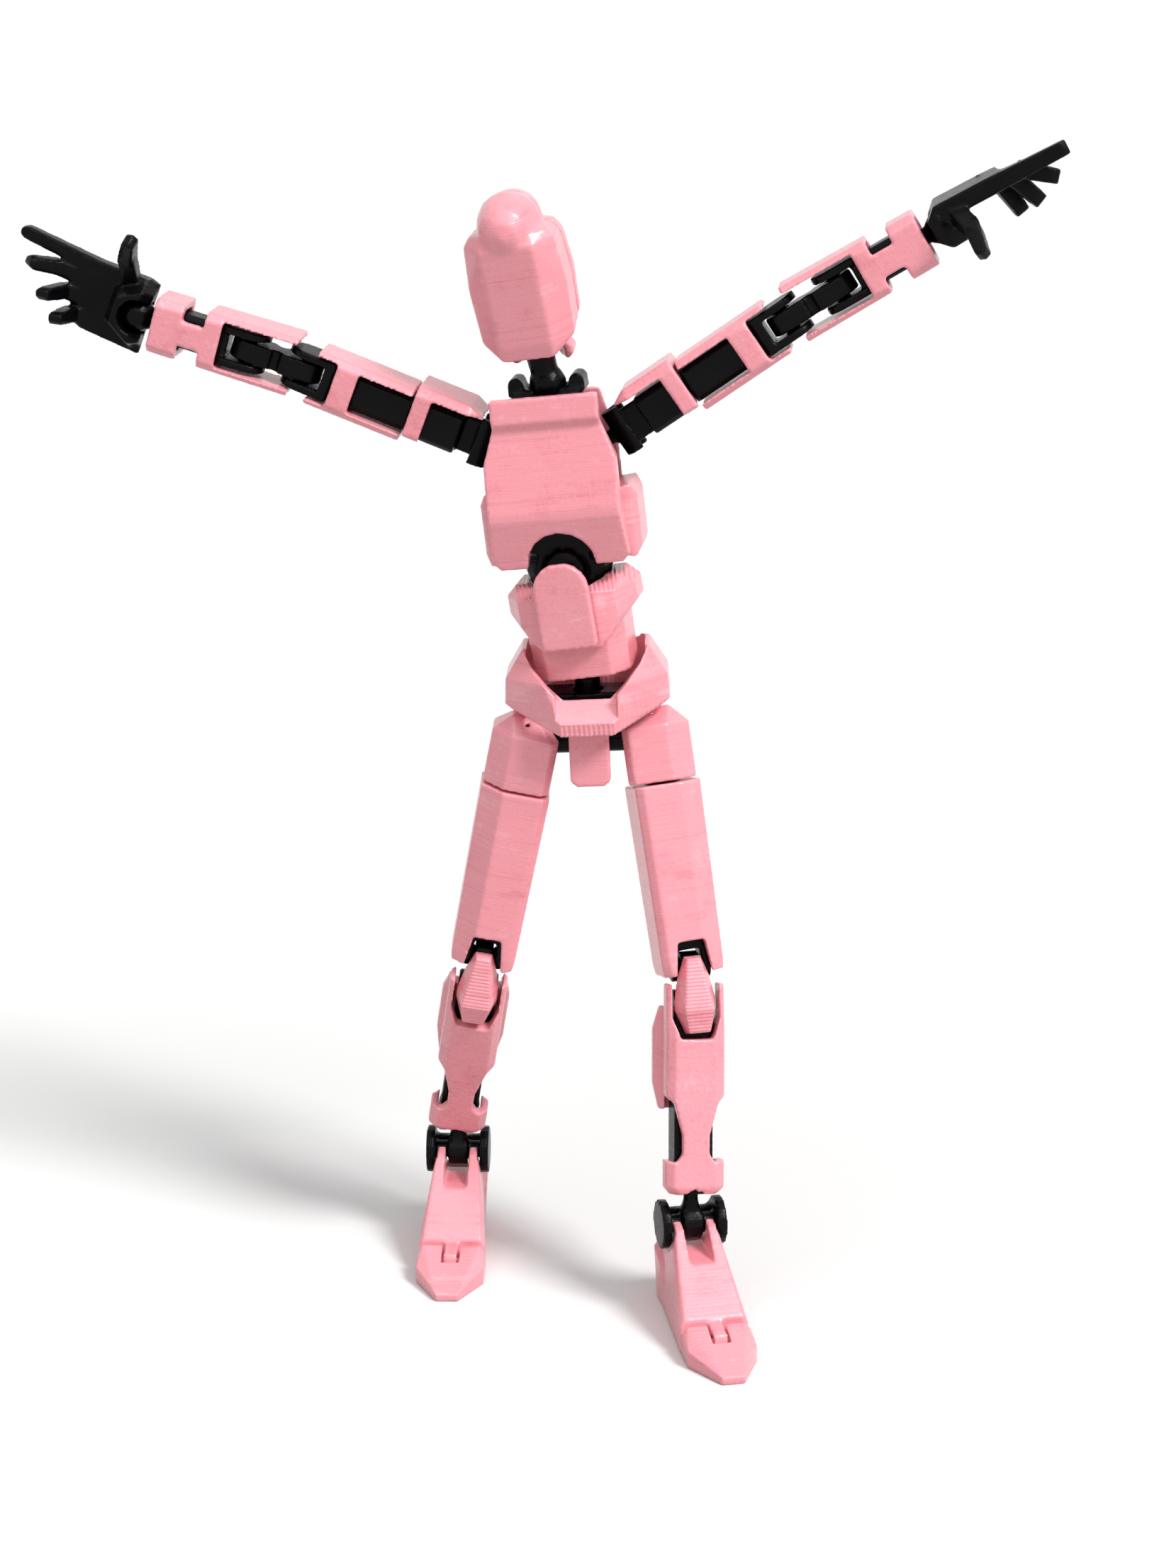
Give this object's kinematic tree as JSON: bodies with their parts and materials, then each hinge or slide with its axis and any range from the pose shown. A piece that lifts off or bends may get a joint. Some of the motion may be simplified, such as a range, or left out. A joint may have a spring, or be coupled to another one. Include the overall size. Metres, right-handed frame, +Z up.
{
  "type": "articulated action figure",
  "caption": "Free-standing jointed toy figure: pink printed armour shells on a black ball-and-pin frame, arms raised, legs apart.",
  "frame": {"origin": "middle of the figure's box, on the surface that the soles stand on", "axes": "+Z up, the figure faces -Y, its own left side is on +X"},
  "size_m": [0.1257, 0.0525, 0.146],
  "materials": {
    "pink_armour": "satin printed plastic with fine layer lines",
    "black_frame": "glossy printed plastic"
  },
  "bodies": {
    "pelvis": {"hip_axle": "black_frame", "pelvis_frame": "black_frame", "pelvis_skirt": "pink_armour", "crotch_plate": "pink_armour"},
    "waist_joint": {"waist_joint": "black_frame"},
    "abdomen": {"abdomen_frame": "black_frame", "waist_block": "pink_armour", "abdomen_wings": "pink_armour", "abdomen_tongue": "pink_armour"},
    "chest": {"chest_frame": "black_frame", "chest_front_plate": "pink_armour", "chest_back_plate": "pink_armour", "neck_base": "black_frame", "right_side_plate": "pink_armour", "left_side_plate": "pink_armour"},
    "neck": {"neck_post": "black_frame"},
    "head": {"head_front": "pink_armour", "head_back": "pink_armour"},
    "right_shoulder_knuckle": {"right_shoulder_knuckle": "black_frame"},
    "right_shoulder": {"right_shoulder_block": "black_frame", "right_shoulder_pad": "pink_armour"},
    "right_upper_arm": {"right_upper_arm_frame": "black_frame", "right_upper_arm_armor": "pink_armour"},
    "right_elbow_link": {"right_elbow_link": "black_frame"},
    "right_forearm": {"right_forearm_frame": "black_frame", "right_forearm_armor": "pink_armour"},
    "right_hand": {"right_hand": "black_frame"},
    "right_hip_joint": {"right_hip_joint": "black_frame"},
    "right_upper_thigh": {"right_upper_thigh": "pink_armour"},
    "right_lower_thigh": {"right_thigh_frame": "black_frame", "right_lower_thigh": "pink_armour"},
    "right_knee": {"right_knee_link": "black_frame", "right_knee_cap": "pink_armour"},
    "right_shin": {"right_shin_frame": "black_frame", "right_shin_armor": "pink_armour", "right_calf_panel": "pink_armour"},
    "right_ankle_joint": {"right_ankle_joint": "black_frame"},
    "right_foot": {"right_foot": "pink_armour"},
    "right_toe": {"right_toe": "pink_armour"},
    "left_shoulder_knuckle": {"left_shoulder_knuckle": "black_frame"},
    "left_shoulder": {"left_shoulder_block": "black_frame", "left_shoulder_pad": "pink_armour"},
    "left_upper_arm": {"left_upper_arm_frame": "black_frame", "left_upper_arm_armor": "pink_armour"},
    "left_elbow_link": {"left_elbow_link": "black_frame"},
    "left_forearm": {"left_forearm_frame": "black_frame", "left_forearm_armor": "pink_armour"},
    "left_hand": {"left_hand": "black_frame"},
    "left_hip_joint": {"left_hip_joint": "black_frame"},
    "left_upper_thigh": {"left_upper_thigh": "pink_armour"},
    "left_lower_thigh": {"left_thigh_frame": "black_frame", "left_lower_thigh": "pink_armour"},
    "left_knee": {"left_knee_link": "black_frame", "left_knee_cap": "pink_armour"},
    "left_shin": {"left_shin_frame": "black_frame", "left_shin_armor": "pink_armour", "left_calf_panel": "pink_armour"},
    "left_ankle_joint": {"left_ankle_joint": "black_frame"},
    "left_foot": {"left_foot": "pink_armour"},
    "left_toe": {"left_toe": "pink_armour"}
  },
  "joints": [
    {"name": "waist_turn", "type": "hinge", "parent": "pelvis", "child": "waist_joint", "pos_m": [0.00665, 0.0095, 0.07907], "axis": [-0.0455, 0.0013, 0.999], "range_deg": [-22, 40]},
    {"name": "waist_lean", "type": "hinge", "parent": "waist_joint", "child": "abdomen", "pos_m": [0.00654, 0.00951, 0.08147], "axis": [0.1948, 0.9799, 0.044], "range_deg": [-4, 18]},
    {"name": "chest_bend", "type": "hinge", "parent": "abdomen", "child": "chest", "pos_m": [0.00445, 0.00938, 0.09359], "axis": [0.9833, -0.1436, 0.1114], "range_deg": [-15, 12]},
    {"name": "neck_nod", "type": "hinge", "parent": "chest", "child": "neck", "pos_m": [0.00187, 0.00904, 0.11589], "axis": [0.96, -0.1444, 0.2401], "range_deg": [-18, 13]},
    {"name": "head_turn", "type": "hinge", "parent": "neck", "child": "head", "pos_m": [0.00021, 0.00844, 0.12219], "axis": [-0.1886, -0.2193, 0.9573], "range_deg": [-60, 80]},
    {"name": "right_shoulder_roll", "type": "hinge", "parent": "chest", "child": "right_shoulder_knuckle", "pos_m": [-0.00171, 0.01024, 0.10688], "axis": [0.9258, -0.1206, -0.3582], "range_deg": [-90, 90]},
    {"name": "right_shoulder_swing", "type": "hinge", "parent": "right_shoulder_knuckle", "child": "right_shoulder", "pos_m": [-0.00643, 0.01085, 0.10871], "axis": [0.3507, -0.0795, 0.9331], "range_deg": [-20, 38]},
    {"name": "right_biceps_turn", "type": "hinge", "parent": "right_shoulder", "child": "right_upper_arm", "pos_m": [-0.00643, 0.01085, 0.10871], "axis": [0.9275, -0.1085, -0.3578], "range_deg": [-90, 90]},
    {"name": "right_elbow_upper", "type": "hinge", "parent": "right_upper_arm", "child": "right_elbow_link", "pos_m": [-0.02776, 0.01335, 0.11694], "axis": [0.3107, -0.0748, 0.9476], "range_deg": [0, 42]},
    {"name": "right_elbow_lower", "type": "hinge", "parent": "right_elbow_link", "child": "right_forearm", "pos_m": [-0.03464, 0.01417, 0.11926], "axis": [0.2702, -0.0699, 0.9603], "range_deg": [0, 60]},
    {"name": "right_wrist", "type": "hinge", "parent": "right_forearm", "child": "right_hand", "pos_m": [-0.04818, 0.0158, 0.12319], "axis": [0.3458, -0.0789, 0.935], "range_deg": [-30, 30]},
    {"name": "right_hip_swing", "type": "hinge", "parent": "pelvis", "child": "right_hip_joint", "pos_m": [-0.00117, 0.00972, 0.07051], "axis": [0.9986, -0.0279, 0.0455], "range_deg": [-50, 25]},
    {"name": "right_hip_spread", "type": "hinge", "parent": "right_hip_joint", "child": "right_upper_thigh", "pos_m": [-0.00117, 0.00972, 0.07051], "axis": [0.0257, 0.9986, 0.0471], "range_deg": [-10, 25]},
    {"name": "right_thigh_turn", "type": "hinge", "parent": "right_upper_thigh", "child": "right_lower_thigh", "pos_m": [-0.00117, 0.00972, 0.07051], "axis": [0.1894, -0.0511, 0.9806], "range_deg": [-30, 30]},
    {"name": "right_knee_upper", "type": "hinge", "parent": "right_lower_thigh", "child": "right_knee", "pos_m": [-0.00659, 0.01119, 0.04241], "axis": [0.9862, 0.0173, -0.1647], "range_deg": [-9, 35]},
    {"name": "right_knee_lower", "type": "hinge", "parent": "right_knee", "child": "right_shin", "pos_m": [-0.00738, 0.01219, 0.03778], "axis": [0.9899, 0.0122, -0.1411], "range_deg": [-9, 35]},
    {"name": "right_ankle_tilt", "type": "hinge", "parent": "right_shin", "child": "right_ankle_joint", "pos_m": [-0.01039, 0.02064, 0.01737], "axis": [0.0401, 0.9992, 0], "range_deg": [-15, 15]},
    {"name": "right_ankle_pitch", "type": "hinge", "parent": "right_ankle_joint", "child": "right_foot", "pos_m": [-0.01039, 0.02064, 0.01187], "axis": [0.9992, -0.0401, 0], "range_deg": [-15, 20]},
    {"name": "right_toe_bend", "type": "hinge", "parent": "right_foot", "child": "right_toe", "pos_m": [-0.011, 0.00565, 0.0022], "axis": [0.9992, -0.0401, 0], "range_deg": [-35, 5]},
    {"name": "left_shoulder_roll", "type": "hinge", "parent": "chest", "child": "left_shoulder_knuckle", "pos_m": [0.00753, 0.00889, 0.10793], "axis": [0.8094, -0.1334, 0.5719], "range_deg": [-90, 90]},
    {"name": "left_shoulder_swing", "type": "hinge", "parent": "left_shoulder_knuckle", "child": "left_shoulder", "pos_m": [0.01166, 0.00821, 0.11085], "axis": [-0.57, 0.0553, 0.8198], "range_deg": [-35, 20]},
    {"name": "left_biceps_turn", "type": "hinge", "parent": "left_shoulder", "child": "left_upper_arm", "pos_m": [0.01166, 0.00821, 0.11085], "axis": [0.8168, -0.0693, 0.5727], "range_deg": [-90, 90]},
    {"name": "left_elbow_upper", "type": "hinge", "parent": "left_upper_arm", "child": "left_elbow_link", "pos_m": [0.03045, 0.00662, 0.12402], "axis": [-0.5405, 0.0528, 0.8397], "range_deg": [-42, 0]},
    {"name": "left_elbow_lower", "type": "hinge", "parent": "left_elbow_link", "child": "left_forearm", "pos_m": [0.03656, 0.00609, 0.12798], "axis": [-0.5102, 0.0502, 0.8586], "range_deg": [-60, 0]},
    {"name": "left_wrist", "type": "hinge", "parent": "left_forearm", "child": "left_hand", "pos_m": [0.0487, 0.00506, 0.13526], "axis": [-0.0884, -0.9961, 0.0056], "range_deg": [-30, 30]},
    {"name": "left_hip_swing", "type": "hinge", "parent": "pelvis", "child": "left_hip_joint", "pos_m": [0.01521, 0.00927, 0.07125], "axis": [0.9986, -0.0279, 0.0455], "range_deg": [-35, 38]},
    {"name": "left_hip_spread", "type": "hinge", "parent": "left_hip_joint", "child": "left_upper_thigh", "pos_m": [0.01521, 0.00927, 0.07125], "axis": [0.0372, 0.9749, -0.2196], "range_deg": [-20, 6]},
    {"name": "left_thigh_turn", "type": "hinge", "parent": "left_upper_thigh", "child": "left_lower_thigh", "pos_m": [0.01521, 0.00927, 0.07125], "axis": [-0.1424, 0.2227, 0.9644], "range_deg": [-30, 30]},
    {"name": "left_knee_upper", "type": "hinge", "parent": "left_lower_thigh", "child": "left_knee", "pos_m": [0.01929, 0.00288, 0.04362], "axis": [0.9793, 0.2012, 0.0222], "range_deg": [0, 44]},
    {"name": "left_knee_lower", "type": "hinge", "parent": "left_knee", "child": "left_shin", "pos_m": [0.01962, 0.00179, 0.03896], "axis": [0.9817, 0.184, -0.049], "range_deg": [0, 44]},
    {"name": "left_ankle_tilt", "type": "hinge", "parent": "left_shin", "child": "left_ankle_joint", "pos_m": [0.01959, -0.0038, 0.01737], "axis": [-0.2113, 0.9774, 0], "range_deg": [-15, 15]},
    {"name": "left_ankle_pitch", "type": "hinge", "parent": "left_ankle_joint", "child": "left_foot", "pos_m": [0.01959, -0.0038, 0.01187], "axis": [0.9774, 0.2113, 0], "range_deg": [-15, 20]},
    {"name": "left_toe_bend", "type": "hinge", "parent": "left_foot", "child": "left_toe", "pos_m": [0.02276, -0.01846, 0.0022], "axis": [0.9774, 0.2113, 0], "range_deg": [-35, 5]}
  ]
}
